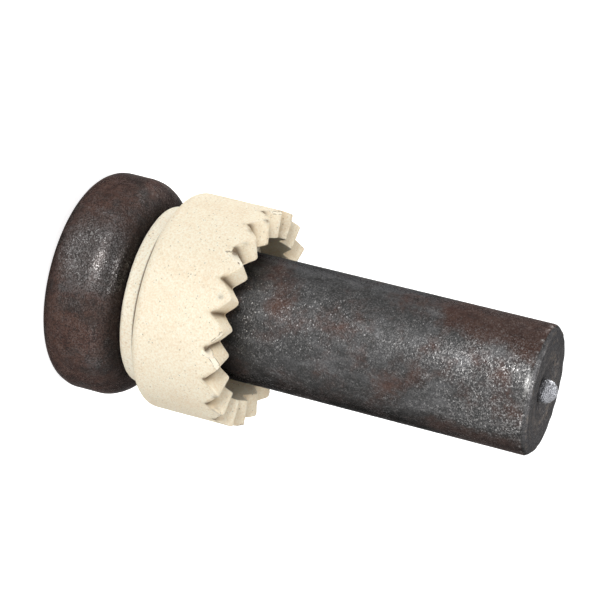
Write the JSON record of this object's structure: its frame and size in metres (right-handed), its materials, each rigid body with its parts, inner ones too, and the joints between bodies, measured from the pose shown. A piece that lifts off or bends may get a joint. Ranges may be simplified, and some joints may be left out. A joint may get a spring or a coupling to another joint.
{
  "type": "shear stud connector with ceramic weld ferrule",
  "caption": "Headed steel stud with a plain round shank and an aluminium flux ball in its weld end; a loose ceramic ferrule with a toothed, vented foot slides along the shank.",
  "frame": {"origin": "centre of the head's flat face, on which the stud stands", "axes": "+Z along the stud's axis from the head to the weld end; +X and +Y are radial and arbitrary"},
  "size_m": [0.0222, 0.0222, 0.0501],
  "materials": {
    "scaled_steel": "satin",
    "soft_aluminium": "satin",
    "fired_ceramic": "matte"
  },
  "bodies": {
    "stud": {"headed_stud": "scaled_steel", "flux_ball": "soft_aluminium"},
    "ferrule": {"ceramic_ferrule": "fired_ceramic"}
  },
  "joints": [
    {"name": "ferrule_slide", "type": "slide", "parent": "stud", "child": "ferrule", "axis": [0, 0, 1], "range_m": [0, 0.0293]}
  ]
}
